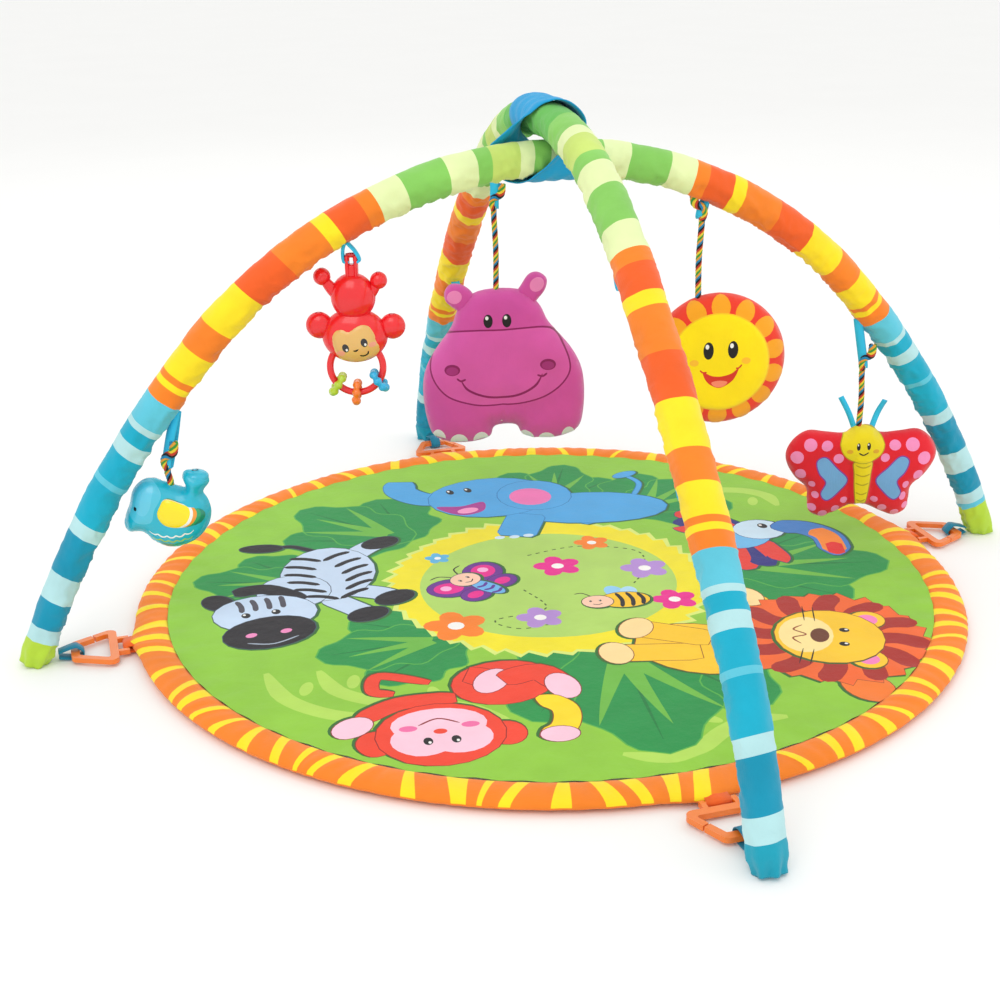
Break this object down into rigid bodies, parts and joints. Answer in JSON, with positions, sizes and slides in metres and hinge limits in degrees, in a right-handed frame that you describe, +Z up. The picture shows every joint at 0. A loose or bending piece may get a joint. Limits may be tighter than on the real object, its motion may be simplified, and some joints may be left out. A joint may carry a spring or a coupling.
{
  "type": "activity play gym",
  "caption": "Round padded play mat under two crossing padded arches, with plush and moulded toys hanging from ribbon loops.",
  "frame": {"origin": "centre of the mat at floor level", "axes": "+Z up; lower arch along X, upper arch along Y; the hippo hangs on the +Y side and the spare loops are on the -Y leg"},
  "size_m": [1.0678, 1.0746, 0.5061],
  "materials": {
    "mat_print": "printed woven cover",
    "padding": "fibre padding",
    "mat_under": "plain woven cover",
    "binding": "striped padded binding",
    "tab_webbing": "webbing",
    "link_plastic": "moulded, satin",
    "rod_plastic": "bent rod",
    "ferrule_metal": "tube",
    "foam": "foam tube",
    "sleeve_fabric": "striped woven sleeve",
    "ribbon": "satin ribbon",
    "strap_fabric": "woven strap",
    "cord_yarn": "twisted yarn in several colours",
    "bird_plastic": "moulded, glossy",
    "wing_plastic": "moulded, glossy",
    "ball_plastic": "moulded",
    "red_plastic": "moulded, glossy",
    "face_plastic": "moulded, printed",
    "bead_green": "moulded",
    "bead_orange": "moulded",
    "bead_blue": "moulded",
    "hippo_fabric": "short plush, embroidered",
    "ear_fabric": "short plush",
    "sun_fabric": "printed velour",
    "butterfly_fabric": "printed velour"
  },
  "bodies": {
    "mat": {"mat_top_cover": "mat_print", "mat_padding": "padding", "mat_bottom_cover": "mat_under", "mat_binding": "binding", "mat_tabs": "tab_webbing"},
    "link_left": {"link_left": "link_plastic"},
    "link_front": {"link_front": "link_plastic"},
    "link_right": {"link_right": "link_plastic"},
    "link_back": {"link_back": "link_plastic"},
    "arch_a": {"arch_a_rod_left": "rod_plastic", "arch_a_rod_right": "rod_plastic", "arch_a_ferrule": "ferrule_metal", "arch_a_end_caps": "rod_plastic", "arch_a_foam": "foam", "arch_a_sleeve": "sleeve_fabric", "arch_a_foot_ribbons": "ribbon", "arch_a_toy_loops": "ribbon"},
    "arch_b": {"arch_b_rod_front": "rod_plastic", "arch_b_rod_back": "rod_plastic", "arch_b_ferrule": "ferrule_metal", "arch_b_end_caps": "rod_plastic", "arch_b_foam": "foam", "arch_b_sleeve": "sleeve_fabric", "arch_b_foot_ribbons": "ribbon", "arch_b_toy_loops": "ribbon", "crossing_strap": "strap_fabric"},
    "bird_cord": {"bird_cord": "cord_yarn"},
    "bird": {"bird_left_shell": "bird_plastic", "bird_right_shell": "bird_plastic", "bird_wings": "wing_plastic", "bird_rattle_balls": "ball_plastic"},
    "monkey": {"monkey_front_shell": "red_plastic", "monkey_back_shell": "red_plastic", "monkey_face": "face_plastic", "monkey_handle": "red_plastic", "monkey_rattle_balls": "ball_plastic"},
    "bead_green": {"bead_ring_green": "bead_green"},
    "bead_orange": {"bead_ring_orange": "bead_orange"},
    "bead_blue": {"bead_ring_blue": "bead_blue"},
    "hippo_cord": {"hippo_cord": "cord_yarn"},
    "hippo": {"hippo_front": "hippo_fabric", "hippo_back": "hippo_fabric", "hippo_ears": "ear_fabric", "hippo_filling": "padding"},
    "sun_cord": {"sun_cord": "cord_yarn"},
    "sun": {"sun_front": "sun_fabric", "sun_back": "sun_fabric", "sun_filling": "padding"},
    "butterfly_cord": {"butterfly_cord": "cord_yarn"},
    "butterfly": {"butterfly_front": "butterfly_fabric", "butterfly_back": "butterfly_fabric", "butterfly_antennae": "ribbon", "butterfly_filling": "padding"}
  },
  "joints": [
    {"name": "link_left_hinge", "type": "hinge", "parent": "mat", "child": "link_left", "pos_m": [-0.429, 0, 0.006], "axis": [0, 1, 0], "range_deg": [0, 85]},
    {"name": "link_front_hinge", "type": "hinge", "parent": "mat", "child": "link_front", "pos_m": [0, -0.429, 0.006], "axis": [-1, 0, 0], "range_deg": [0, 85]},
    {"name": "link_right_hinge", "type": "hinge", "parent": "mat", "child": "link_right", "pos_m": [0.429, 0, 0.006], "axis": [0, -1, 0], "range_deg": [0, 85]},
    {"name": "link_back_hinge", "type": "hinge", "parent": "mat", "child": "link_back", "pos_m": [0, 0.429, 0.006], "axis": [1, 0, 0], "range_deg": [0, 85]},
    {"name": "frame_lift", "type": "slide", "parent": "mat", "child": "arch_a", "axis": [0, 0, 1], "range_m": [0, 0.25], "deforming": ["arch_a_foot_ribbons", "arch_b_foot_ribbons"]},
    {"name": "arch_swivel", "type": "hinge", "parent": "arch_a", "child": "arch_b", "pos_m": [0, 0, 0.46425], "axis": [0, 0, 1], "range_deg": [-15, 15], "deforming": ["crossing_strap"]},
    {"name": "bird_swing", "type": "hinge", "parent": "arch_a", "child": "bird_cord", "pos_m": [-0.37271, 0, 0.18433], "axis": [1, 0, 0], "range_deg": [-20, 20]},
    {"name": "bird_twist", "type": "hinge", "parent": "bird_cord", "child": "bird", "pos_m": [-0.37271, 0, 0.16873], "axis": [0, 0, 1], "range_deg": [-30, 30]},
    {"name": "sun_swing", "type": "hinge", "parent": "arch_a", "child": "sun_cord", "pos_m": [0.1591, 0, 0.3803], "axis": [1, 0, 0], "range_deg": [-20, 20]},
    {"name": "sun_twist", "type": "hinge", "parent": "sun_cord", "child": "sun", "pos_m": [0.1591, 0, 0.3029], "axis": [0, 0, 1], "range_deg": [-40, 40]},
    {"name": "butterfly_swing", "type": "hinge", "parent": "arch_a", "child": "butterfly_cord", "pos_m": [0.35016, 0, 0.20956], "axis": [1, 0, 0], "range_deg": [-20, 20]},
    {"name": "butterfly_twist", "type": "hinge", "parent": "butterfly_cord", "child": "butterfly", "pos_m": [0.35016, 0, 0.14816], "axis": [0, 0, 1], "range_deg": [-30, 5]},
    {"name": "hippo_swing", "type": "hinge", "parent": "arch_b", "child": "hippo_cord", "pos_m": [0, 0.17536, 0.37027], "axis": [0, 1, 0], "range_deg": [-20, 20]},
    {"name": "hippo_twist", "type": "hinge", "parent": "hippo_cord", "child": "hippo", "pos_m": [0, 0.17536, 0.28487], "axis": [0, 0, 1], "range_deg": [-30, 30]},
    {"name": "monkey_swing", "type": "hinge", "parent": "arch_a", "child": "monkey", "pos_m": [-0.18964, 0, 0.36453], "axis": [0.9613, -0.2756, 0], "range_deg": [-20, 20]},
    {"name": "bead_green_slide_round", "type": "hinge", "parent": "monkey", "child": "bead_green", "pos_m": [-0.18964, 0, 0.26203], "axis": [-0.2756, -0.9613, 0], "range_deg": [-12, 5]},
    {"name": "bead_orange_slide_round", "type": "hinge", "parent": "monkey", "child": "bead_orange", "pos_m": [-0.18964, 0, 0.26203], "axis": [-0.2756, -0.9613, 0], "range_deg": [-5, 10]},
    {"name": "bead_blue_slide_round", "type": "hinge", "parent": "monkey", "child": "bead_blue", "pos_m": [-0.18964, 0, 0.26203], "axis": [-0.2756, -0.9613, 0], "range_deg": [-12, 10]}
  ]
}
